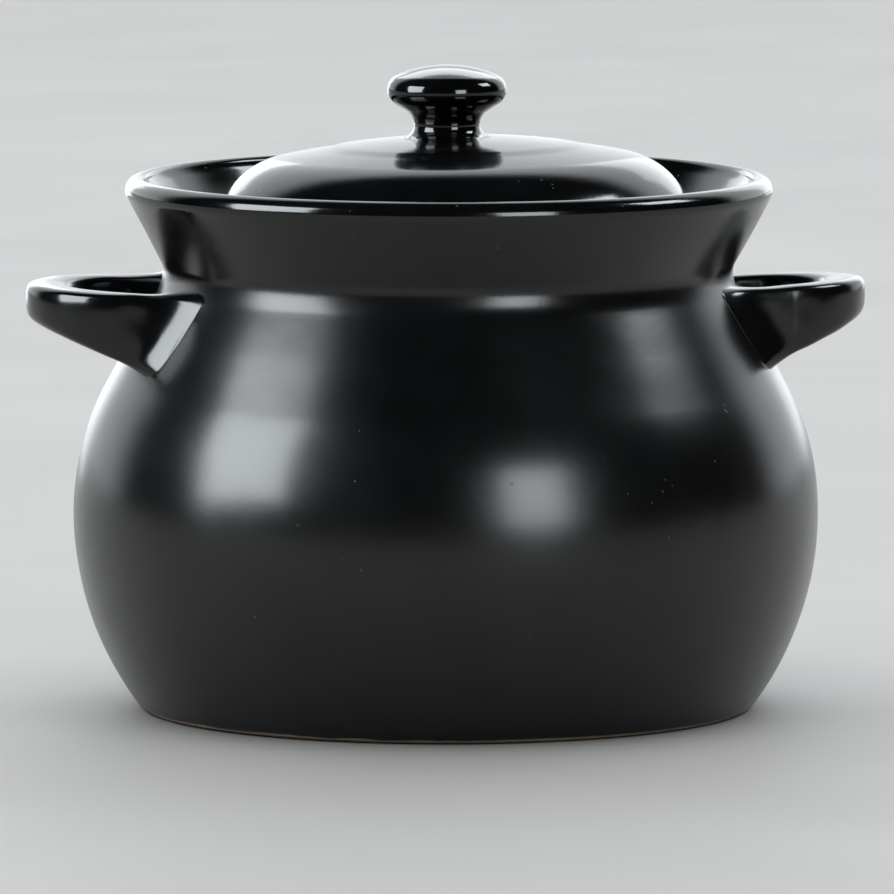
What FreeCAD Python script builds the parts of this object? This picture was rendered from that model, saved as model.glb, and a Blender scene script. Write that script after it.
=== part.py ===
"""Black glazed ceramic stew pot: a round-bellied pot with a flared collar, two loop handles
luted on under the collar, and a domed lid with a mushroom knob that sits down inside the collar.

Millimetres. Origin: centre of the foot, on the surface the pot stands on. +Z is up, the handles
point along -X and +X, and the front is towards -Y.
"""
import FreeCAD, Part
import math
import os

import Sketcher

# Driving dimensions. Heights are above the surface that the pot stands on.
SIZES = {
    # pot, outside
    "foot_ring_width": 12,
    "foot_recess": 1.5,
    "foot_round": 6,
    "belly_radius": 138.2,
    "belly_height": 73,
    "lower_belly_curve": 120,
    "upper_belly_curve": 100,
    "shoulder_lean": 28.2,
    "crease_round": 18,
    "crease_lean": 3,
    "neck_radius": 105.7,
    "collar_lean": 28.2,
    "rim_radius": 120,
    "rim_height": 197.5,
    "lip_blend": 5.5,
    "lip_outer_round": 4.8,
    "lip_inner_round": 2.4,
    # pot, inside
    "wall": 7.5,
    "floor_thickness": 9,
    "floor_corner": 16,
    "ledge_height": 169,
    "ledge_outer_radius": 96,
    "throat_radius": 83.5,
    "throat_depth": 9,
    "ledge_round": 1.5,
    # lid, heights above its seat
    "seat_gap": 0.3,
    "lid_radius": 89.8,
    "lid_edge_height": 5.6,
    "lid_edge_round": 2,
    "lid_shoulder_curve": 31.2,
    "lid_crown_curve": 314,
    "lid_wall": 6,
    "flange_radius": 80,
    "flange_wall": 4.5,
    "flange_depth": 8,
    # knob, heights above the lid's pad
    "pad_radius": 17.5,
    "pad_edge": 0.3,
    "knob_waist_radius": 12.2,
    "knob_foot_curve": 4.5,
    "knob_neck_curve": 6.3,
    "knob_radius": 22.1,
    "knob_edge_curve": 5.9,
    "knob_equator_height": 17.8,
    "knob_crown_angle": 67.5,
    "knob_under_angle": 56.5,
    "knob_height": 27,
    # handles, heights below the pot's handle_top
    "handle_top": 158.5,
    "handle_reach": 156.5,
    "handle_outer_curve": 37.5,
    "handle_inner_reach": 140,
    "handle_inner_curve": 26.5,
    "handle_splay": 12,
    "handle_tip_drop": 13.8,
    "handle_underside_rise": 20.5,
    "handle_edge_round": 4.4,
    "handle_root_start": 92,
    "handle_block_height": 60,
}

MARGIN = 30  # how far a cutting shape reaches past what it cuts


class Size:
    """A number together with the sheet expression that gives it."""

    def __init__(self, value, text):
        self.value = value
        self.text = text

    def joined(self, sign, other, value):
        return Size(value, "({} {} {})".format(self.text, sign, other.text))

    def __add__(self, other):
        other = as_size(other)
        return self.joined("+", other, self.value + other.value)

    def __sub__(self, other):
        other = as_size(other)
        return self.joined("-", other, self.value - other.value)

    def __mul__(self, other):
        other = as_size(other)
        return self.joined("*", other, self.value * other.value)

    def __truediv__(self, other):
        other = as_size(other)
        return self.joined("/", other, self.value / other.value)

    def __neg__(self):
        return as_size(0) - self


def as_size(number):
    if isinstance(number, Size):
        return number
    return Size(float(number), repr(float(number)))


def root(size):
    return Size(math.sqrt(size.value), "sqrt({})".format(size.text))


def sine(angle):
    return Size(math.sin(math.radians(angle.value)), "sin({} * 1 deg)".format(angle.text))


def cosine(angle):
    return Size(math.cos(math.radians(angle.value)), "cos({} * 1 deg)".format(angle.text))


def tangent(angle):
    return Size(math.tan(math.radians(angle.value)), "tan({} * 1 deg)".format(angle.text))


def fill_sheet(sheet):
    for row, (alias, value) in enumerate(SIZES.items(), start=1):
        sheet.set("A{}".format(row), alias.replace("_", " "))
        sheet.set("B{}".format(row), str(value))
        sheet.setAlias("B{}".format(row), alias)


def size(alias):
    return Size(float(sheet.get(alias)), "Sizes." + alias)


def new_body(label):
    body = document.addObject("PartDesign::Body", label)
    body.Label = label
    return body


def origin_plane(body, role):
    for feature in body.Origin.OriginFeatures:
        if feature.Role == role:
            return feature
    raise ValueError("no plane " + role)


class Outline:
    """A closed chain of lines and arcs in a sketch, with every corner tied to the sheet.

    Second coordinates are given above the surface that the pot stands on, and datum is the height
    of the sketch's own zero.
    """

    def __init__(self, body, name, role, datum=0):
        self.sketch = body.newObject("Sketcher::SketchObject", name)
        self.sketch.AttachmentSupport = [(origin_plane(body, role), "")]
        self.sketch.MapMode = "FlatFace"
        self.datum = as_size(datum)
        self.corner = None
        self.first_corner = None
        self.first_end = None
        self.last_end = None

    def place(self, across, up):
        up = as_size(up)
        if self.datum.value:
            up = up - self.datum
        return as_size(across), up

    def start(self, across, up):
        self.corner = self.place(across, up)
        self.first_corner = self.corner

    def line(self, across, up):
        begin, end = self.corner, self.place(across, up)
        edge = Part.LineSegment(point(begin), point(end))
        self.add(edge, 1, 2, end)

    def arc(self, across, up, radius, turn):
        """Arc to a new corner; turn is left or right, the way that the outline bends."""
        begin, end = self.corner, self.place(across, up)
        radius = as_size(radius)
        chord = point(end) - point(begin)
        side = 1 if turn == "left" else -1
        normal = FreeCAD.Vector(-chord.y, chord.x, 0).normalize() * side
        rise = math.sqrt(max(radius.value ** 2 - (chord.Length / 2) ** 2, 0))
        centre = point(begin) + chord / 2 + normal * rise
        ends = (begin, end) if turn == "left" else (end, begin)
        angles = [math.atan2(point(p).y - centre.y, point(p).x - centre.x) for p in ends]
        circle = Part.Circle(centre, FreeCAD.Vector(0, 0, 1), radius.value)
        edge = Part.ArcOfCircle(circle, angles[0], angles[1])
        index = self.add(edge, 1 if turn == "left" else 2, 2 if turn == "left" else 1, end)
        number = self.sketch.addConstraint(Sketcher.Constraint("Radius", index, radius.value))
        self.sketch.setExpression("Constraints[{}]".format(number), radius.text)

    def close(self):
        across, up = self.first_corner
        begin = self.corner
        edge = Part.LineSegment(point(begin), point((across, up)))
        index = self.sketch.addGeometry(edge, False)
        self.join(self.last_end, (index, 1))
        self.join((index, 2), self.first_end)
        self.pin(self.first_end, self.first_corner)
        if self.sketch.solve() != 0:
            raise RuntimeError("sketch not solved: " + self.sketch.Label)
        return self.sketch

    def add(self, edge, start_point, end_point, corner):
        index = self.sketch.addGeometry(edge, False)
        if self.first_end is None:
            self.first_end = (index, start_point)
        else:
            self.join(self.last_end, (index, start_point))
        self.last_end = (index, end_point)
        self.corner = corner
        self.pin(self.last_end, corner)
        return index

    def join(self, first, second):
        self.sketch.addConstraint(Sketcher.Constraint("Coincident", *first, *second))

    def pin(self, end, corner):
        for kind, axis, distance in (("DistanceX", -2, corner[0]), ("DistanceY", -1, corner[1])):
            if abs(distance.value) < 1e-9:
                self.sketch.addConstraint(Sketcher.Constraint("PointOnObject", *end, axis))
                continue
            number = self.sketch.addConstraint(Sketcher.Constraint(kind, *end, distance.value))
            self.sketch.setExpression("Constraints[{}]".format(number), distance.text)


def point(corner):
    return FreeCAD.Vector(corner[0].value, corner[1].value, 0)


def revolved(body, kind, name, sketch):
    feature = body.newObject("PartDesign::" + kind, name)
    feature.Profile = sketch
    feature.ReferenceAxis = (sketch, ["V_Axis"])
    feature.Angle = 360
    return feature


def draw_outside(outline):
    """Outside of the pot from the top of the foot's round up to the crest of the lip."""
    belly_radius = size("belly_radius")
    belly_height = size("belly_height")
    lower = size("lower_belly_curve")
    upper = size("upper_belly_curve")
    lean = size("shoulder_lean")
    neck_radius = size("neck_radius")
    collar_lean = size("collar_lean")
    rim_radius = size("rim_radius")
    rim_height = size("rim_height")
    blend = size("lip_blend")
    outer_round = size("lip_outer_round")
    outline.arc(belly_radius, belly_height, lower, "left")
    shoulder_radius = belly_radius - upper + upper * cosine(lean)
    shoulder_height = belly_height + upper * sine(lean)
    outline.arc(shoulder_radius, shoulder_height, upper, "left")
    crease = size("crease_round")
    crease_lean = size("crease_lean")
    crease_radius = neck_radius + crease * (cosine(crease_lean) - cosine(lean))
    crease_low = shoulder_height + (shoulder_radius - crease_radius) / tangent(lean)
    crease_high = crease_low + crease * (sine(lean) - sine(crease_lean))
    outline.line(crease_radius, crease_low)
    outline.arc(neck_radius, crease_high, crease, "right")
    widest_height = rim_height - outer_round
    collar_radius = rim_radius - blend + blend * cosine(collar_lean)
    collar_height = widest_height - blend * sine(collar_lean)
    neck_top = collar_height - (collar_radius - neck_radius) / tangent(collar_lean)
    outline.line(neck_radius, neck_top)
    outline.line(collar_radius, collar_height)
    outline.arc(rim_radius, widest_height, blend, "left")
    outline.arc(rim_radius - outer_round, rim_height, outer_round, "left")


def lower_corner(curve, corner, level):
    """Where a round of radius corner meets a flat at height level and the lower belly's curve.

    Both curves of the lower belly, the outside and the inside, share one centre. Gives the radius
    of the flat's edge, then the radius and height of the point on the belly.
    """
    centre = size("belly_radius") - size("lower_belly_curve")
    height = size("belly_height")
    reach = curve - corner
    drop = height - level - corner
    across = root(reach * reach - drop * drop)
    return centre + across, centre + curve * across / reach, height - curve * drop / reach


def foot_corner():
    return lower_corner(size("lower_belly_curve"), size("foot_round"), as_size(0))


def draw_inside(outline):
    """Inside of the pot from the crest of the lip down to the middle of the floor."""
    wall = size("wall")
    belly_height = size("belly_height")
    lower = size("lower_belly_curve")
    upper = size("upper_belly_curve")
    lean = size("shoulder_lean")
    lip_round = size("lip_inner_round")
    crest_radius = size("rim_radius") - size("lip_outer_round")
    ledge = size("ledge_height")
    ledge_round = size("ledge_round")
    throat = size("throat_radius")
    throat_low = ledge - size("throat_depth")
    outline.arc(crest_radius - lip_round, size("rim_height") - lip_round, lip_round, "left")
    outline.line(size("ledge_outer_radius"), ledge)
    outline.line(throat + ledge_round, ledge)
    outline.arc(throat, ledge - ledge_round, ledge_round, "left")
    outline.line(throat, throat_low)
    inner_radius = size("belly_radius") - upper + (upper - wall) * cosine(lean)
    inner_height = belly_height + (upper - wall) * sine(lean)
    under_height = throat_low - wall
    under_radius = inner_radius - (under_height - inner_height) * tangent(lean)
    outline.line(under_radius, under_height)
    outline.line(inner_radius, inner_height)
    outline.arc(size("belly_radius") - wall, belly_height, upper - wall, "right")
    corner = size("floor_corner")
    floor = size("floor_thickness")
    floor_radius, corner_radius, corner_height = lower_corner(lower - wall, corner, floor)
    outline.arc(corner_radius, corner_height, lower - wall, "right")
    outline.arc(floor_radius, floor, corner, "right")
    outline.line(0, floor)


def make_pot():
    body = new_body("pot_body")
    outline = Outline(body, "PotSection", "XZ_Plane")
    foot_radius, round_radius, round_height = foot_corner()
    ring = foot_radius - size("foot_ring_width")
    recess = size("foot_recess")
    outline.start(0, recess)
    outline.line(ring, recess)
    outline.line(ring + recess, 0)
    outline.line(foot_radius, 0)
    outline.arc(round_radius, round_height, size("foot_round"), "left")
    draw_outside(outline)
    draw_inside(outline)
    revolved(body, "Revolution", "PotTurned", outline.close())
    return body


def lid_crown():
    """The lid's crown is part of a sphere centred on the axis, and its shoulder curve runs into
    the crown. Gives the sphere's centre height above the seat, and the cosine and sine of the
    angle above level at which the two meet."""
    shoulder = size("lid_shoulder_curve")
    reach = size("lid_crown_curve") - shoulder
    level = (size("lid_radius") - shoulder) / reach
    upright = root(as_size(1) - level * level)
    return size("lid_edge_height") - reach * upright, level, upright


def lid_pad_height():
    """Height of the flat pad on the lid's crown, above the seat."""
    crown = size("lid_crown_curve")
    pad = size("pad_radius")
    return lid_crown()[0] + root(crown * crown - pad * pad)


def make_lid():
    body = new_body("lid")
    body.setExpression("Placement.Base.z", "Sizes.ledge_height + Sizes.seat_gap")
    outline = Outline(body, "LidSection", "XZ_Plane")
    radius = size("lid_radius")
    edge = size("lid_edge_height")
    edge_round = size("lid_edge_round")
    shoulder = size("lid_shoulder_curve")
    crown = size("lid_crown_curve")
    wall = size("lid_wall")
    flange = size("flange_radius")
    flange_inside = flange - size("flange_wall")
    depth = size("flange_depth")
    centre_height, level, upright = lid_crown()
    inner_crown = crown - wall
    inner_shoulder = shoulder - wall
    top = lid_pad_height()
    outline.start(0, top)
    outline.line(0, centre_height + inner_crown)
    outline.arc(inner_crown * level, centre_height + inner_crown * upright, inner_crown, "right")
    outline.arc(radius - wall, edge, inner_shoulder, "right")
    outline.line(flange_inside, 0)
    outline.line(flange_inside, -depth)
    outline.line(flange, -depth)
    outline.line(flange, 0)
    outline.line(radius - edge_round, 0)
    outline.arc(radius, edge_round, edge_round, "left")
    outline.line(radius, edge)
    outline.arc(crown * level, centre_height + crown * upright, shoulder, "left")
    outline.arc(size("pad_radius"), top, crown, "left")
    revolved(body, "Revolution", "LidTurned", outline.close())
    return body


def make_knob():
    body = new_body("lid_knob")
    base = size("ledge_height") + size("seat_gap") + lid_pad_height()
    body.setExpression("Placement.Base.z", base.text)
    outline = Outline(body, "KnobSection", "XZ_Plane")
    pad = size("pad_radius")
    pad_edge = size("pad_edge")
    waist = size("knob_waist_radius")
    foot = size("knob_foot_curve")
    neck = size("knob_neck_curve")
    radius = size("knob_radius")
    edge = size("knob_edge_curve")
    equator = size("knob_equator_height")
    crown_angle = size("knob_crown_angle")
    under_angle = size("knob_under_angle")
    height = size("knob_height")
    centre = radius - edge
    crown_radius = centre + edge * cosine(crown_angle)
    crown_height = equator + edge * sine(crown_angle)
    under_radius = centre + edge * cosine(under_angle)
    under_height = equator - edge * sine(under_angle)
    crown_rise = height - crown_height
    crown = (crown_radius * crown_radius + crown_rise * crown_rise) / (crown_rise * 2)
    waist_height = pad_edge + foot
    outline.start(0, 0)
    outline.line(pad, 0)
    outline.line(waist + foot, pad_edge)
    outline.arc(waist, waist_height, foot, "right")
    outline.arc(waist + neck * (as_size(1) - cosine(under_angle)),
                waist_height + neck * sine(under_angle), neck, "right")
    outline.line(under_radius, under_height)
    outline.arc(crown_radius, crown_height, edge, "left")
    outline.arc(0, height, crown, "left")
    revolved(body, "Revolution", "KnobTurned", outline.close())
    return body


def draw_loop(outline):
    """Plan of a handle that points along +X: splayed arms that meet in a round end."""
    splay = size("handle_splay")
    start = size("handle_root_start")
    outer = size("handle_outer_curve")
    inner = size("handle_inner_curve")
    outer_end = size("handle_reach") - outer + outer * sine(splay)
    inner_end = size("handle_inner_reach") - inner + inner * sine(splay)
    outer_side = outer * cosine(splay)
    inner_side = inner * cosine(splay)
    outer_root = outer_side + (outer_end - start) * tangent(splay)
    inner_root = inner_side + (inner_end - start) * tangent(splay)
    outline.start(start, -outer_root)
    outline.line(outer_end, -outer_side)
    outline.arc(outer_end, outer_side, outer, "left")
    outline.line(start, outer_root)
    outline.line(start, inner_root)
    outline.line(inner_end, inner_side)
    outline.arc(inner_end, -inner_side, inner, "right")
    outline.line(start, -inner_root)
    return outline.close()


def draw_underside(outline):
    """Everything below a handle's underside, which rises from the root to the tip."""
    slope = tangent(size("handle_underside_rise"))
    reach = size("handle_reach")
    near = size("handle_root_start") - MARGIN
    far = reach + MARGIN
    tip = -size("handle_tip_drop")
    deep = as_size(-4 * MARGIN)
    outline.start(near, deep)
    outline.line(far, deep)
    outline.line(far, tip + slope * MARGIN)
    outline.line(near, tip - slope * (reach - near))
    return outline.close()


def draw_pot_envelope(outline):
    """The pot as a solid of revolution with nothing hollow, for cutting a handle's root."""
    _, round_radius, round_height = foot_corner()
    outline.start(0, round_height)
    outline.line(round_radius, round_height)
    draw_outside(outline)
    outline.line(0, size("rim_height"))
    return outline.close()


def long_edges(shape, root_start):
    """Names of a handle's edges to be rounded: all but those on the root's end faces and the
    upright ones between the arms' flat sides and their round ends."""
    names = []
    for number, edge in enumerate(shape.Edges, start=1):
        ends = [vertex.Point for vertex in edge.Vertexes]
        at_root = all(end.x < root_start + 0.01 for end in ends)
        upright = all((end - ends[0]).cross(FreeCAD.Vector(0, 0, 1)).Length < 0.01 for end in ends)
        if not at_root and not upright:
            names.append("Edge{}".format(number))
    return names


def make_handle(label, turn):
    body = new_body(label)
    body.Placement.Rotation = FreeCAD.Rotation(FreeCAD.Vector(0, 0, 1), turn)
    body.setExpression("Placement.Base.z", "Sizes.handle_top")
    loop = body.newObject("PartDesign::Pad", "Loop")
    loop.Profile = draw_loop(Outline(body, "LoopPlan", "XY_Plane"))
    loop.Reversed = True
    loop.setExpression("Length", "Sizes.handle_block_height")
    document.recompute()
    block_volume = loop.Shape.Volume
    underside = body.newObject("PartDesign::Pocket", "Underside")
    underside.Profile = draw_underside(Outline(body, "UndersideProfile", "XZ_Plane"))
    underside.Type = "ThroughAll"
    underside.Midplane = True
    document.recompute()
    if underside.Shape.Volume > 0.8 * block_volume:
        raise RuntimeError("the underside of {} was not cut".format(label))
    rounds = body.newObject("PartDesign::Fillet", "SoftEdges")
    rounds.Base = (underside, long_edges(underside.Shape, SIZES["handle_root_start"]))
    rounds.setExpression("Radius", "Sizes.handle_edge_round")
    document.recompute()
    envelope = Outline(body, "PotEnvelope", "XZ_Plane", datum=size("handle_top"))
    revolved(body, "Groove", "RootCut", draw_pot_envelope(envelope))
    document.recompute()
    if body.Shape.Volume > 0.95 * rounds.Shape.Volume:
        raise RuntimeError("the root of {} was not cut".format(label))
    return body


def check(bodies):
    for item in document.Objects:
        if "Invalid" in item.State or "Error" in item.State:
            raise RuntimeError("{} failed: {}".format(item.Name, item.State))
    for body in bodies:
        shape = body.Shape
        if shape.isNull() or not shape.isValid() or len(shape.Solids) != 1:
            raise RuntimeError("{} isn't one valid solid".format(body.Label))


def export(bodies):
    os.makedirs("parts", exist_ok=True)
    for body in bodies:
        body.Shape.exportStep("parts/{}.step".format(body.Label))
        box = body.Shape.BoundBox
        print("{:14s} {:9.0f} mm3  x {:.1f}..{:.1f}  y {:.1f}..{:.1f}  z {:.1f}..{:.1f}".format(
            body.Label, body.Shape.Volume, box.XMin, box.XMax, box.YMin, box.YMax, box.ZMin, box.ZMax))


document = FreeCAD.newDocument("stew_pot")
sheet = document.addObject("Spreadsheet::Sheet", "Sizes")
fill_sheet(sheet)
document.recompute()
parts = [
    make_pot(),
    make_handle("handle_left", 180),
    make_handle("handle_right", 0),
    make_lid(),
    make_knob(),
]
document.recompute()
check(parts)
export(parts)
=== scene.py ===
import math

import bpy
import numpy as np
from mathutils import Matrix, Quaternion, Vector


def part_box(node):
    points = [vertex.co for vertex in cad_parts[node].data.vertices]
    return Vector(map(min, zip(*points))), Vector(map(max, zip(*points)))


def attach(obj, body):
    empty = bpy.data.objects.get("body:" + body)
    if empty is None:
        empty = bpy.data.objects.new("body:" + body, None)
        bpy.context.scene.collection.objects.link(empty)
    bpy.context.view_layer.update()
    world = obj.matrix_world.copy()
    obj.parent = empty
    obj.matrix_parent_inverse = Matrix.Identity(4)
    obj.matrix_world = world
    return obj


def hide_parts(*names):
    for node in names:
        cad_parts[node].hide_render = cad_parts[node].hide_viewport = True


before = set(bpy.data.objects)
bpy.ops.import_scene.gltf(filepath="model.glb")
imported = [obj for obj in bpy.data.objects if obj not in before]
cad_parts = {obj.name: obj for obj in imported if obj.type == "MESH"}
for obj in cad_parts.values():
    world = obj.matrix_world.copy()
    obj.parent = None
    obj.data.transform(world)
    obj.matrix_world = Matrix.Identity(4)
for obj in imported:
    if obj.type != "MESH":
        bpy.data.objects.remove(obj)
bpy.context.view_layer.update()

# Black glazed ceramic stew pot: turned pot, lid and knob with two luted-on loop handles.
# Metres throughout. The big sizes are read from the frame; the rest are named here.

MM = 0.001

POT_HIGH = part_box("pot_body")[1]
LID_LOW, LID_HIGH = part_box("lid")
KNOB_LOW, KNOB_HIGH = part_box("lid_knob")
HANDLE_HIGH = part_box("handle_right")[1]

# Pot, outside
BELLY_RADIUS = POT_HIGH.x
RIM_HEIGHT = POT_HIGH.z
BELLY_HEIGHT = 73 * MM
LOWER_BELLY = 120 * MM
UPPER_BELLY = 100 * MM
LEAN = math.radians(28.2)
CREASE_ROUND = 18 * MM
CREASE_LEAN = math.radians(3)
NECK_RADIUS = 105.7 * MM
COLLAR_LEAN = math.radians(28.2)
COLLAR_BEND = 1.6 * MM
RIM_RADIUS = 120 * MM
LIP_BLEND = 5.5 * MM
LIP_OUTER_ROUND = 4.8 * MM
LIP_INNER_ROUND = 2.4 * MM
FOOT_RING = 12 * MM
FOOT_RECESS = 1.5 * MM
FOOT_ROUND = 6 * MM

# Pot, inside
WALL = 7.5 * MM
FLOOR = 9 * MM
FLOOR_CORNER = 16 * MM
SEAT_GAP = 0.3 * MM
FLANGE_DEPTH = 8 * MM
SEAT = LID_LOW.z + FLANGE_DEPTH
LEDGE = SEAT - SEAT_GAP
LEDGE_RADIUS = 96 * MM
THROAT_RADIUS = 83.5 * MM
THROAT_DEPTH = 9 * MM
LEDGE_ROUND = 1.5 * MM

# Lid
LID_RADIUS = LID_HIGH.x
LID_EDGE = 5.6 * MM
LID_SHOULDER = 31.2 * MM
LID_CROWN = 314 * MM
LID_WALL = 6 * MM
SUNK = 0.6 * MM
LID_EDGE_ROUND = 2 * MM
FLANGE_RADIUS = 79.7 * MM
FLANGE_WALL = 4.5 * MM
RING_RADIUS = 42 * MM
RING_WIDTH = 8 * MM
RING_STEP = 0.4 * MM
LID_SHIFT = 3 * MM
LID_LEAN = math.tan(math.radians(0.8))

# Knob
KNOB_BASE = KNOB_LOW.z
KNOB_RADIUS = KNOB_HIGH.x
KNOB_HEIGHT = KNOB_HIGH.z - KNOB_LOW.z
PAD_RADIUS = 17.5 * MM
PAD_EDGE = 0.3 * MM
PAD_SMEAR = 1.5 * MM
KNOB_WAIST = 12.2 * MM
KNOB_FOOT = 4.5 * MM
KNOB_NECK = 6.3 * MM
KNOB_EDGE = 5.9 * MM
KNOB_EQUATOR = 17.8 * MM
KNOB_CROWN = math.radians(67.5)
KNOB_UNDER = math.radians(56.5)

# Handles, drawn pointing along +X
HANDLE_REACH = HANDLE_HIGH.x
HANDLE_TOP = HANDLE_HIGH.z
LOOP_OUTER = 37.5 * MM
LOOP_INNER = 26.5 * MM
LOOP_INNER_REACH = 140 * MM
SPLAY = math.radians(12)
TIP_DROP = 13.8 * MM
UNDERSIDE_SLOPE = math.tan(math.radians(20.5))
STRAP_ROUND = 0.23
SQUARENESS = 2.7
FLARE_ACROSS = 4.0 * MM
FLARE_UP = 1.6 * MM
FLARE_REACH = 12 * MM
ROOT_DEPTH = 3 * MM
ROOT_MARKS = 0.20 * MM
TIP_MARKS = 0.06 * MM


# ---------------------------------------------------------------- outlines

class Outline:
    """Half section of a turned piece: points (radius, height) from straight lines and arcs."""

    def __init__(self, radius, height, step):
        self.points = [(radius, height)]
        self.step = step

    def line(self, radius, height, step=None):
        r0, z0 = self.points[-1]
        length = math.hypot(radius - r0, height - z0)
        count = max(2, math.ceil(length / (step or 2 * self.step)))
        for i in range(1, count + 1):
            f = i / count
            self.points.append((r0 + (radius - r0) * f, z0 + (height - z0) * f))

    def arc(self, radius, height, curve, turn):
        """Arc of radius curve to a new point; turn is left or right along the travel."""
        r0, z0 = self.points[-1]
        dr, dz = radius - r0, height - z0
        chord = math.hypot(dr, dz)
        side = 1 if turn == "left" else -1
        rise = math.sqrt(max(curve ** 2 - (chord / 2) ** 2, 0)) * side
        cr = (r0 + radius) / 2 - dz / chord * rise
        cz = (z0 + height) / 2 + dr / chord * rise
        start = math.atan2(z0 - cz, r0 - cr)
        sweep = 2 * math.asin(min(1, chord / 2 / curve)) * side
        count = max(8, math.ceil(abs(sweep) * curve / self.step))
        for i in range(1, count + 1):
            a = start + sweep * i / count
            self.points.append((cr + curve * math.cos(a), cz + curve * math.sin(a)))

    def array(self):
        return np.array(self.points)


def lower_corner(curve, corner, level):
    """Where a round of radius corner meets a flat at height level and the lower belly's curve."""
    centre = BELLY_RADIUS - LOWER_BELLY
    reach = curve - corner
    drop = BELLY_HEIGHT - level - corner
    across = math.sqrt(reach ** 2 - drop ** 2)
    return centre + across, centre + curve * across / reach, BELLY_HEIGHT - curve * drop / reach


def shoulder_point(curve):
    """Where the upper belly's curve runs into the straight shoulder."""
    radius = BELLY_RADIUS - UPPER_BELLY + curve * math.cos(LEAN)
    return radius, BELLY_HEIGHT + curve * math.sin(LEAN)


def crease_points():
    """Ends of the hollow curve that takes the straight shoulder up to the neck."""
    radius, height = shoulder_point(UPPER_BELLY)
    low_radius = NECK_RADIUS + CREASE_ROUND * (math.cos(CREASE_LEAN) - math.cos(LEAN))
    low_height = height + (radius - low_radius) / math.tan(LEAN)
    high_height = low_height + CREASE_ROUND * (math.sin(LEAN) - math.sin(CREASE_LEAN))
    return low_radius, low_height, high_height


def pot_outline():
    foot, round_radius, round_height = lower_corner(LOWER_BELLY, FOOT_ROUND, 0)
    shoulder_radius, shoulder_height = shoulder_point(UPPER_BELLY)
    crease_radius, crease_low, crease_high = crease_points()
    widest = RIM_HEIGHT - LIP_OUTER_ROUND
    collar_radius = RIM_RADIUS - LIP_BLEND * (1 - math.cos(COLLAR_LEAN))
    collar_height = widest - LIP_BLEND * math.sin(COLLAR_LEAN)
    neck_top = collar_height - (collar_radius - NECK_RADIUS) / math.tan(COLLAR_LEAN)
    bend = COLLAR_BEND / math.tan(COLLAR_LEAN / 2)
    o = Outline(0, FOOT_RECESS, 1.2 * MM)
    o.line(foot - FOOT_RING, FOOT_RECESS, 6 * MM)
    o.line(foot - FOOT_RING + FOOT_RECESS, 0)
    o.line(foot, 0)
    o.arc(round_radius, round_height, FOOT_ROUND, "left")
    o.arc(BELLY_RADIUS, BELLY_HEIGHT, LOWER_BELLY, "left")
    o.arc(shoulder_radius, shoulder_height, UPPER_BELLY, "left")
    o.line(crease_radius, crease_low)
    o.arc(NECK_RADIUS, crease_high, CREASE_ROUND, "right")
    o.line(NECK_RADIUS, neck_top - COLLAR_BEND, 0.5 * MM)
    o.arc(NECK_RADIUS + COLLAR_BEND * math.sin(COLLAR_LEAN),
          neck_top + COLLAR_BEND * math.cos(COLLAR_LEAN), bend, "right")
    o.line(collar_radius, collar_height)
    o.arc(RIM_RADIUS, widest, LIP_BLEND, "left")
    o.arc(RIM_RADIUS - LIP_OUTER_ROUND, RIM_HEIGHT, LIP_OUTER_ROUND, "left")
    crest = RIM_RADIUS - LIP_OUTER_ROUND
    o.arc(crest - LIP_INNER_ROUND, RIM_HEIGHT - LIP_INNER_ROUND, LIP_INNER_ROUND, "left")
    o.line(LEDGE_RADIUS, LEDGE)
    o.line(THROAT_RADIUS + LEDGE_ROUND, LEDGE)
    o.arc(THROAT_RADIUS, LEDGE - LEDGE_ROUND, LEDGE_ROUND, "left")
    o.line(THROAT_RADIUS, LEDGE - THROAT_DEPTH)
    inner_radius, inner_height = shoulder_point(UPPER_BELLY - WALL)
    under_height = LEDGE - THROAT_DEPTH - WALL
    under_radius = inner_radius - (under_height - inner_height) * math.tan(LEAN)
    o.line(under_radius, under_height)
    o.line(inner_radius, inner_height)
    o.arc(BELLY_RADIUS - WALL, BELLY_HEIGHT, UPPER_BELLY - WALL, "right")
    inside = LOWER_BELLY - WALL
    floor_radius, corner_radius, corner_height = lower_corner(inside, FLOOR_CORNER, FLOOR)
    o.arc(corner_radius, corner_height, inside, "right")
    o.arc(floor_radius, FLOOR, FLOOR_CORNER, "right")
    o.line(0, FLOOR, 4 * MM)
    return o.array()


def lid_outline():
    reach = LID_CROWN - LID_SHOULDER
    level = (LID_RADIUS - LID_SHOULDER) / reach
    upright = math.sqrt(1 - level ** 2)
    centre = SEAT + LID_EDGE - reach * upright
    inner = LID_CROWN - LID_WALL
    o = Outline(0, centre + LID_CROWN, 1 * MM)
    o.arc(LID_CROWN * level, centre + LID_CROWN * upright, LID_CROWN, "right")
    o.arc(LID_RADIUS, SEAT + LID_EDGE, LID_SHOULDER, "right")
    o.line(LID_RADIUS, SEAT + LID_EDGE_ROUND)
    o.arc(LID_RADIUS - LID_EDGE_ROUND, SEAT, LID_EDGE_ROUND, "right")
    o.line(FLANGE_RADIUS, SEAT)
    flange_low = SEAT - FLANGE_DEPTH
    tip = FLANGE_WALL / 3
    o.line(FLANGE_RADIUS, flange_low + tip)
    o.arc(FLANGE_RADIUS - tip, flange_low, tip, "right")
    o.line(FLANGE_RADIUS - FLANGE_WALL + tip, flange_low)
    o.arc(FLANGE_RADIUS - FLANGE_WALL, flange_low + tip, tip, "right")
    o.line(FLANGE_RADIUS - FLANGE_WALL, SEAT)
    o.line(LID_RADIUS - LID_WALL, SEAT + LID_EDGE)
    o.arc(inner * level, centre + inner * upright, LID_SHOULDER - LID_WALL, "left")
    o.arc(0, centre + inner, inner, "left")
    return o.array()[::-1]


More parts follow.
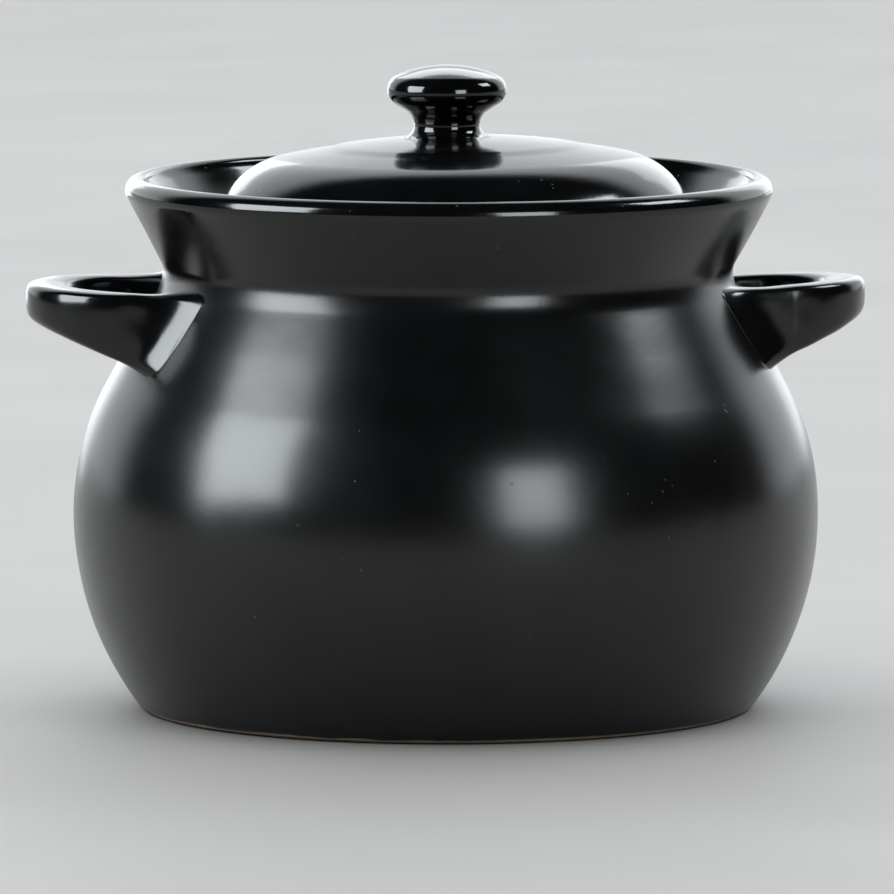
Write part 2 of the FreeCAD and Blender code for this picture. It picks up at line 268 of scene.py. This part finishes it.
def knob_outline():
    centre = KNOB_RADIUS - KNOB_EDGE
    crown_radius = centre + KNOB_EDGE * math.cos(KNOB_CROWN)
    crown_height = KNOB_EQUATOR + KNOB_EDGE * math.sin(KNOB_CROWN)
    rise = KNOB_HEIGHT - crown_height
    crown_curve = (crown_radius ** 2 + rise ** 2) / (2 * rise)
    waist_height = PAD_EDGE + KNOB_FOOT
    o = Outline(0, -SUNK, 0.35 * MM)
    o.line(PAD_RADIUS + PAD_SMEAR, -SUNK)
    o.line(KNOB_WAIST + KNOB_FOOT, PAD_EDGE)
    o.arc(KNOB_WAIST, waist_height, KNOB_FOOT, "right")
    o.arc(KNOB_WAIST + KNOB_NECK * (1 - math.cos(KNOB_UNDER)),
          waist_height + KNOB_NECK * math.sin(KNOB_UNDER), KNOB_NECK, "right")
    o.line(centre + KNOB_EDGE * math.cos(KNOB_UNDER),
           KNOB_EQUATOR - KNOB_EDGE * math.sin(KNOB_UNDER))
    o.arc(crown_radius, crown_height, KNOB_EDGE, "left")
    o.arc(0, KNOB_HEIGHT, crown_curve, "left")
    points = o.array()
    points[:, 1] += KNOB_BASE
    return points


# ---------------------------------------------------------------- meshes

def make_object(name, vertices, faces):
    mesh = bpy.data.meshes.new(name)
    mesh.from_pydata([tuple(v) for v in vertices], [], faces)
    mesh.validate()
    mesh.polygons.foreach_set("use_smooth", [True] * len(mesh.polygons))
    mesh.update()
    piece = bpy.data.objects.new(name, mesh)
    bpy.context.scene.collection.objects.link(piece)
    return piece


def tube_faces(rows, steps):
    """Quads round a tube of points, row by row, closed at each end by a fan on to a centre point.
    The two centre points follow the last row."""
    faces = []
    for i in range(rows - 1):
        for j in range(steps):
            k = (j + 1) % steps
            faces.append((i * steps + j, i * steps + k, (i + 1) * steps + k, (i + 1) * steps + j))
    first, last = rows * steps, rows * steps + 1
    for j in range(steps):
        k = (j + 1) % steps
        faces.append((first, k, j))
        faces.append(((rows - 1) * steps + j, (rows - 1) * steps + k, last))
    return faces


def turned(name, outline, steps, shape):
    """Closed solid of revolution. The outline starts and ends on the axis, and travels with the
    solid on its left. shape moves the finished points, to make them less than perfectly round."""
    ring = outline[1:-1]
    angle = np.arange(steps) * 2 * math.pi / steps
    x = ring[:, :1] * np.cos(angle)
    y = ring[:, :1] * np.sin(angle)
    z = np.repeat(ring[:, 1:], steps, axis=1)
    grid = np.stack([x, y, z], axis=2).reshape(-1, 3)
    ends = np.array([[0, 0, outline[0, 1]], [0, 0, outline[-1, 1]]])
    vertices = np.concatenate([grid, ends])
    return make_object(name, shape(vertices), tube_faces(len(ring), steps))


def hand_thrown(vertices):
    """A fraction of a millimetre of unevenness, as a hand leaves it."""
    out = vertices.copy()
    angle = np.arctan2(vertices[:, 1], vertices[:, 0])
    z = vertices[:, 2] / MM
    swell = 0.16 * np.sin(2 * angle + 0.6 + z / 90) + 0.09 * np.sin(3 * angle - z / 41)
    swell += 0.05 * np.sin(5 * angle + z / 23 + 2) + 0.05 * np.sin(z / 6.5 + angle)
    flat = np.clip(z / 12, 0, 1) * np.clip((RIM_HEIGHT / MM - z) / 10, 0.35, 1)
    radius = np.maximum(np.hypot(vertices[:, 0], vertices[:, 1]), 1e-9)
    scale = 1 + (swell * flat - 0.2) * MM / radius * np.clip(radius / (40 * MM), 0, 1)
    out[:, :2] *= scale[:, None]
    return out


def settled_pot(vertices):
    """The collar stands a fraction of a millimetre to the right of the belly."""
    out = hand_thrown(vertices)
    out[:, 0] += np.interp(out[:, 2], [140 * MM, 180 * MM], [-0.3 * MM, 0.7 * MM])
    return out


def trimmed_ring(radius):
    """Height of the low soft step that trimming left round the lid's crown."""
    across = np.clip((radius - RING_RADIUS) / RING_WIDTH, 0, 1)
    fade = np.interp(radius, [RING_RADIUS + RING_WIDTH, LID_RADIUS - LID_SHOULDER / 2], [1, 0])
    return RING_STEP * 0.5 * np.cos(math.pi * across) * fade


def settled_lid(vertices):
    """The lid sits to one side on its ledge, and its dome leans a little the same way."""
    out = hand_thrown(vertices)
    rise = np.clip((out[:, 2] - SEAT) / (LID_HIGH.z - SEAT), 0, 1)
    out[:, 2] += LID_LEAN * out[:, 0] * rise
    out[:, 2] += trimmed_ring(np.hypot(out[:, 0], out[:, 1])) * rise
    out[:, 0] += LID_SHIFT
    return out


def settled_knob(vertices):
    """The knob stands upright, and its foot is smeared down on to the leaning lid."""
    out = vertices.copy()
    x, y = out[:, 0] - LID_SHIFT, out[:, 1]
    crown = np.sqrt(LID_CROWN ** 2 - x ** 2 - y ** 2) - math.sqrt(LID_CROWN ** 2 - PAD_RADIUS ** 2)
    foot = PAD_EDGE + KNOB_FOOT
    low = np.clip((KNOB_BASE + foot - out[:, 2]) / foot, 0, 1)
    out[:, 2] += (crown + LID_LEAN * x) * low
    return out


# ---------------------------------------------------------------- handles

POT_OUTLINE = pot_outline()


def outside_radius(height):
    """Radius of the pot's outside at a height between the foot and the lip."""
    crest = int(np.argmax(POT_OUTLINE[:, 1]))
    side = POT_OUTLINE[:crest]
    side = side[side[:, 1] > 5 * MM]
    return np.interp(height, side[:, 1], side[:, 0])


def loop_path(along):
    """Centre line of the strap in plan, its outward normal and its thickness.

    along runs from -1 to 1 over the round end, and beyond that over the straight arms, in units
    of the round end's half length."""
    outer_centre = HANDLE_REACH - LOOP_OUTER
    inner_centre = LOOP_INNER_REACH - LOOP_INNER
    centre = (outer_centre + inner_centre) / 2
    curve = (LOOP_OUTER + LOOP_INNER) / 2
    half_turn = math.pi / 2 - SPLAY
    half_length = curve * half_turn
    turn = np.clip(along, -1, 1) * half_turn
    beyond = (np.abs(along) - 1).clip(0) * half_length
    normal = np.stack([np.cos(turn), np.sin(turn)], axis=-1)
    back = np.stack([-np.abs(np.sin(turn)), np.sign(turn) * np.cos(turn)], axis=-1)
    point = normal * curve + np.array([centre, 0])
    point = point + back * beyond[..., None]
    thickness = (LOOP_OUTER - LOOP_INNER) + (outer_centre - inner_centre) * np.cos(turn)
    return point, normal, thickness


def rounded(turn, half, corner):
    """One coordinate of a rounded box with gently crowned sides."""
    crowned = np.tanh(SQUARENESS * turn) / math.tanh(SQUARENESS)
    return (half - corner) * crowned + corner * turn


def strap_point(along, around):
    """Point of a handle's strap, before its roots flare, and the way the surface faces there."""
    centre, normal, thickness = loop_path(along)
    c, s = np.cos(around), np.sin(around)
    across = rounded(c, thickness / 2, thickness * STRAP_ROUND)
    flat = centre + normal * across[..., None]
    drop = TIP_DROP + (HANDLE_REACH - flat[..., 0]) * UNDERSIDE_SLOPE
    up = rounded(s, drop / 2, np.minimum(thickness, drop) * STRAP_ROUND)
    z = HANDLE_TOP - drop / 2 + up
    point = np.concatenate([flat, z[..., None]], axis=-1)
    return point, normal * c[..., None], s


def clearance(point):
    """Distance of a point from the pot's outside, about square to the wall."""
    radius = np.hypot(point[..., 0], point[..., 1])
    return (radius - outside_radius(point[..., 2])) * math.cos(LEAN)


def finger_marks(point, phase):
    """Shallow hollows from pressing the clay, between about -2 and 0."""
    x, y, z = point[..., 0] / MM, point[..., 1] / MM, point[..., 2] / MM
    broad = np.sin(0.31 * x + 0.22 * y + 0.35 * z + phase)
    crossing = 0.6 * np.sin(0.52 * y - 0.27 * z + phase)
    fine = 0.5 * np.sin(0.44 * z - 0.36 * x + 2 * phase)
    return (broad + crossing + fine) / 2.1 - 1


def flared(along, around, phase):
    """The strap's surface, spread where it meets the pot, with the marks of the hands on it."""
    point, sideways, upward = strap_point(along, around)
    clear = clearance(point)
    away = np.clip(clear, -ROOT_DEPTH, FLARE_REACH)
    grow = (1 - away / FLARE_REACH).clip(0, 1.2) ** 2.4
    worked = np.interp(clear, [5 * MM, 30 * MM], [ROOT_MARKS, TIP_MARKS])
    marks = finger_marks(point, phase) * worked
    point[..., :2] += sideways * (FLARE_ACROSS * grow + marks)[..., None]
    point[..., 2] += upward * (FLARE_UP * grow + marks)
    return point


def root_start(around, side):
    """How far along each line of the strap has to run to end inside the pot's wall."""
    near, far = np.full(around.shape, 0.9), np.full(around.shape, 3.0)
    for _ in range(40):
        middle = (near + far) / 2
        outside = clearance(strap_point(side * middle, around)[0]) > -ROOT_DEPTH
        near = np.where(outside, middle, near)
        far = np.where(outside, far, middle)
    return side * near


def loop_handle(name, direction, lift, pitch, roll, phase):
    """A handle along +X or -X. lift, pitch and roll are how far hand work left it from true, and
    phase sets where its finger marks fall."""
    sides, arm, bend = 72, 48, 112
    around = np.arange(sides) * 2 * math.pi / sides
    front, back = root_start(around, -1), root_start(around, 1)
    ease = np.linspace(0, 1, arm)[:, None]
    rows = [front + (-1 - front) * ease,
            np.repeat(np.linspace(-1, 1, bend + 2)[1:-1, None], sides, axis=1),
            1 + (back - 1) * ease]
    along = np.concatenate(rows)
    grid = flared(along, np.broadcast_to(around, along.shape), phase)
    grid[..., :2] *= direction
    tilt = pitch * (np.abs(grid[..., 0]) - 130 * MM) + roll * grid[..., 1]
    grid[..., 2] += lift + tilt
    ends = np.array([grid[0].mean(0), grid[-1].mean(0)])
    vertices = np.concatenate([grid.reshape(-1, 3), ends])
    return make_object(name, vertices, tube_faces(len(along), sides))


# ---------------------------------------------------------------- materials

class Shader:
    """Short way to build a node tree: add nodes, link them by socket name."""

    def __init__(self, name):
        self.material = bpy.data.materials.new(name)
        self.material.use_nodes = True
        self.tree = self.material.node_tree
        self.surface = self.tree.nodes["Principled BSDF"]
        self.place = self.add("ShaderNodeTexCoord").outputs["Object"]

    def add(self, kind, **settings):
        node = self.tree.nodes.new(kind)
        for key, value in settings.items():
            setattr(node, key, value)
        return node

    def link(self, source, target):
        self.tree.links.new(source, target)

    def noise(self, scale, detail=2, rough=0.5):
        node = self.add("ShaderNodeTexNoise")
        node.inputs["Scale"].default_value = scale
        node.inputs["Detail"].default_value = detail
        node.inputs["Roughness"].default_value = rough
        self.link(self.place, node.inputs["Vector"])
        return node.outputs["Fac"]

    def remap(self, source, low, high, to_low, to_high):
        node = self.add("ShaderNodeMapRange")
        node.inputs["From Min"].default_value = low
        node.inputs["From Max"].default_value = high
        node.inputs["To Min"].default_value = to_low
        node.inputs["To Max"].default_value = to_high
        self.link(source, node.inputs["Value"])
        return node.outputs["Result"]

    def math(self, operation, first, second):
        node = self.add("ShaderNodeMath", operation=operation)
        for socket, value in zip(node.inputs, (first, second)):
            if isinstance(value, (int, float)):
                socket.default_value = value
            else:
                self.link(value, socket)
        return node.outputs["Value"]

    def mix(self, factor, first, second):
        node = self.add("ShaderNodeMix", data_type="RGBA")
        self.link(factor, node.inputs["Factor"])
        for name, value in (("A", first), ("B", second)):
            socket = [s for s in node.inputs if s.name == name and s.type == "RGBA"][0]
            if isinstance(value, tuple):
                socket.default_value = (*value, 1)
            else:
                self.link(value, socket)
        return [s for s in node.outputs if s.type == "RGBA"][0]

    def specks(self, scale, size):
        """1 in small round spots, thinly scattered, and 0 elsewhere."""
        cells = self.add("ShaderNodeTexVoronoi")
        cells.inputs["Scale"].default_value = scale
        self.link(self.place, cells.inputs["Vector"])
        spot = self.remap(cells.outputs["Distance"], size * 0.6, size, 1, 0)
        chosen = self.remap(self.noise(scale * 0.35, 1), 0.66, 0.69, 0, 1)
        return self.math("MULTIPLY", spot, chosen)

    def bump(self, height, distance, strength=1.0, under=None):
        node = self.add("ShaderNodeBump")
        node.inputs["Strength"].default_value = strength
        node.inputs["Distance"].default_value = distance
        self.link(height, node.inputs["Height"])
        if under is not None:
            self.link(under, node.inputs["Normal"])
        return node.outputs["Normal"]


def black_glaze(name, smooth, rough, whole_pot=False):
    """Black iron glaze: near-black with a faint mottle, slightly uneven in gloss, with an orange
    peel, a few pinholes and iron specks. On the whole pot the lip is glossier, where the glaze
    ran thin over it, and the standing ring is bare clay."""
    s = Shader(name)
    mottle = s.remap(s.noise(35, 3), 0.35, 0.65, 0, 1)
    colour = s.mix(mottle, (0.0007, 0.0008, 0.0009), (0.0020, 0.0022, 0.0024))
    spots = s.specks(210, 0.13)
    colour = s.mix(spots, colour, (0.030, 0.029, 0.027))
    gloss = s.remap(s.noise(22, 4), 0.3, 0.7, smooth, rough)
    peel = s.bump(s.noise(420, 3, 0.6), 0.02 * MM)
    waves = s.bump(s.noise(45, 1), 0.12 * MM, under=peel)
    holes = s.bump(s.math("SUBTRACT", 1, s.specks(330, 0.15)), 0.06 * MM, under=waves)
    if whole_pot:
        split = s.add("ShaderNodeSeparateXYZ")
        s.link(s.place, split.inputs["Vector"])
        lip = s.remap(split.outputs["Z"], RIM_HEIGHT - 13 * MM, RIM_HEIGHT - 7 * MM, 1, 0.5)
        gloss = s.math("MULTIPLY", gloss, lip)
        edge = s.math("ADD", split.outputs["Z"], s.remap(s.noise(60, 2), 0, 1, -0.0008, 0.0008))
        bare = s.remap(edge, 0.0012, 0.0018, 1, 0)
        clay = s.mix(s.noise(160, 5, 0.7), (0.20, 0.145, 0.10), (0.34, 0.26, 0.19))
        colour = s.mix(bare, colour, clay)
        gloss = s.math("MAXIMUM", gloss, s.math("MULTIPLY", bare, 0.88))
    s.link(colour, s.surface.inputs["Base Color"])
    s.link(gloss, s.surface.inputs["Roughness"])
    s.link(holes, s.surface.inputs["Normal"])
    s.surface.inputs["IOR"].default_value = 1.52
    return s.material


def floor_material():
    s = Shader("pale_floor")
    tone = s.remap(s.noise(3, 3), 0.3, 0.7, 0, 1)
    colour = s.mix(tone, (0.60, 0.60, 0.60), (0.64, 0.64, 0.635))
    s.link(colour, s.surface.inputs["Base Color"])
    s.link(s.remap(s.noise(8, 2), 0.3, 0.7, 0.6, 0.7), s.surface.inputs["Roughness"])
    return s.material


# ---------------------------------------------------------------- pieces

def finish_piece(piece, body, node, material):
    piece.data.materials.append(material)
    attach(piece, body)
    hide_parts(node)


satin = black_glaze("satin_black_glaze", 0.11, 0.15)
satin_pot = black_glaze("satin_black_glaze_on_pot", 0.21, 0.27, whole_pot=True)
gloss = black_glaze("gloss_black_glaze", 0.06, 0.10)
gloss_worked = black_glaze("gloss_black_glaze_on_handles", 0.10, 0.22)

pot = turned("pot_turned", POT_OUTLINE, 320, settled_pot)
finish_piece(pot, "pot", "pot_body", satin_pot)
left = loop_handle("left_loop", -1, 0.7 * MM, 0.03, 0.02, 0.4)
finish_piece(left, "pot", "handle_left", gloss_worked)
right = loop_handle("right_loop", 1, -0.4 * MM, 0.05, -0.02, 2.1)
finish_piece(right, "pot", "handle_right", gloss_worked)
lid = turned("lid_turned", lid_outline(), 288, settled_lid)
finish_piece(lid, "lid_assembly", "lid", satin)
knob = turned("knob_turned", knob_outline(), 160, settled_knob)
finish_piece(knob, "lid_assembly", "lid_knob", gloss)


# ---------------------------------------------------------------- studio

CAMERA_TURN = math.radians(-7.5)
CAMERA_RISE = math.radians(4.75)
CAMERA_DISTANCE = 4.444
VIEW_WIDTH = 0.3311
SENSOR = 36
RIM_OFFSET = 0.1004
COOL = (0.90, 0.96, 1.0)
LIGHT_DISTANCE = 1.6
OVERHEAD_DISTANCE = 4.5
OVERHEAD_SIZE = 12
DARK = 0.015
GLOW = 1.55
GLOW_SIDES = (0.38, 0.70)
GLOW_TOP = (0.60, 0.94)


def make_camera():
    data = bpy.data.cameras.new("camera")
    data.sensor_width = SENSOR
    data.lens = SENSOR * CAMERA_DISTANCE / VIEW_WIDTH
    data.clip_start, data.clip_end = 0.1, 100
    camera = bpy.data.objects.new("camera", data)
    bpy.context.scene.collection.objects.link(camera)
    target = Vector((0, 0, RIM_HEIGHT))
    level = Vector((math.sin(CAMERA_TURN), -math.cos(CAMERA_TURN), 0))
    back = level * math.cos(CAMERA_RISE) + Vector((0, 0, math.sin(CAMERA_RISE)))
    camera.location = target + back * CAMERA_DISTANCE
    pitch = CAMERA_RISE + math.atan(RIM_OFFSET / CAMERA_DISTANCE)
    look = -level * math.cos(pitch) - Vector((0, 0, math.sin(pitch)))
    camera.rotation_mode = "QUATERNION"
    camera.rotation_quaternion = look.to_track_quat("-Z", "Y")
    bpy.context.scene.camera = camera


def softbox(name, turn, rise, width, height, power, roll=0, distance=LIGHT_DISTANCE, colour=COOL):
    """Area light aimed at the pot. turn is degrees to the right of the camera and rise is degrees
    up, both seen from the pot, and roll turns the box in its own plane."""
    data = bpy.data.lights.new(name, "AREA")
    data.shape = "RECTANGLE"
    data.size, data.size_y = width, height
    data.energy = power
    data.color = colour
    light = bpy.data.objects.new(name, data)
    light.visible_camera = False
    bpy.context.scene.collection.objects.link(light)
    a, e = math.radians(turn) + CAMERA_TURN, math.radians(rise)
    out = Vector((math.sin(a) * math.cos(e), -math.cos(a) * math.cos(e), math.sin(e)))
    light.location = Vector((0, 0, 0.12)) + out * distance
    light.rotation_mode = "QUATERNION"
    level = out.to_track_quat("Z", "Y")
    light.rotation_quaternion = level @ Quaternion((0, 0, 1), math.radians(roll))
    return light


def shine_on(light, pieces):
    """Keep a light off everything but these pieces, as flags would, so the floor stays even."""
    group = bpy.data.collections.new(light.name + "_receivers")
    for piece in pieces:
        group.objects.link(piece)
    light.light_linking.receiver_collection = group


def fade(nodes, links, source, start, end, first, last):
    """Smooth change from first to last as source goes from start to end."""
    node = nodes.new("ShaderNodeMapRange")
    node.interpolation_type = "SMOOTHSTEP"
    node.inputs["From Min"].default_value = start
    node.inputs["From Max"].default_value = end
    node.inputs["To Min"].default_value = first
    node.inputs["To Max"].default_value = last
    links.new(source, node.inputs["Value"])
    return node.outputs["Result"]


def make_world():
    """Dark studio with one large soft glow low behind the pot."""
    world = bpy.data.worlds.new("studio")
    world.use_nodes = True
    nodes, links = world.node_tree.nodes, world.node_tree.links
    background = nodes["Background"]
    background.inputs["Color"].default_value = (0.93, 0.97, 1, 1)
    place = nodes.new("ShaderNodeTexCoord")
    behind = nodes.new("ShaderNodeVectorMath")
    behind.operation = "DOT_PRODUCT"
    behind.inputs[1].default_value = (-math.sin(CAMERA_TURN), math.cos(CAMERA_TURN), 0)
    links.new(place.outputs["Generated"], behind.inputs[0])
    split = nodes.new("ShaderNodeSeparateXYZ")
    links.new(place.outputs["Generated"], split.inputs["Vector"])
    across = fade(nodes, links, behind.outputs["Value"], *GLOW_SIDES, 0, 1)
    upward = fade(nodes, links, split.outputs["Z"], *GLOW_TOP, 1, 0)
    glow = nodes.new("ShaderNodeMath")
    glow.operation = "MULTIPLY"
    links.new(across, glow.inputs[0])
    links.new(upward, glow.inputs[1])
    strength = fade(nodes, links, glow.outputs["Value"], 0, 1, DARK, GLOW)
    links.new(strength, background.inputs["Strength"])
    bpy.context.scene.world = world


def make_floor():
    half = 20
    corners = [(-half, -half, 0), (half, -half, 0), (half, half, 0), (-half, half, 0)]
    floor = make_object("floor", corners, [(0, 1, 2, 3)])
    floor.data.materials.append(floor_material())


make_camera()
make_world()
make_floor()
pieces = [pot, left, right, lid, knob]
shine_on(softbox("key_left", turn=-67.5, rise=23.5, width=0.88, height=0.98, power=32.3, roll=11),
         pieces)
shine_on(softbox("front_small", turn=26.8, rise=13.2, width=0.54, height=0.66, power=9.4), pieces)
shine_on(softbox("right_high", turn=97, rise=41.4, width=0.5, height=0.43, power=8.0, roll=-20),
         pieces)
shine_on(softbox("rim_left", turn=-162, rise=8, width=0.6, height=0.7, power=2.4), pieces)
shine_on(softbox("rim_right", turn=160, rise=14, width=0.65, height=0.95, power=2.2), pieces)
shine_on(softbox("knob_top", turn=180, rise=36, width=1.3, height=0.5, power=5), [knob])
overhead = softbox("overhead", turn=180, rise=86, width=OVERHEAD_SIZE, height=OVERHEAD_SIZE,
                   power=480, distance=OVERHEAD_DISTANCE, colour=(1, 1, 1))
overhead.visible_glossy = False
bpy.context.scene.view_settings.view_transform = "Standard"
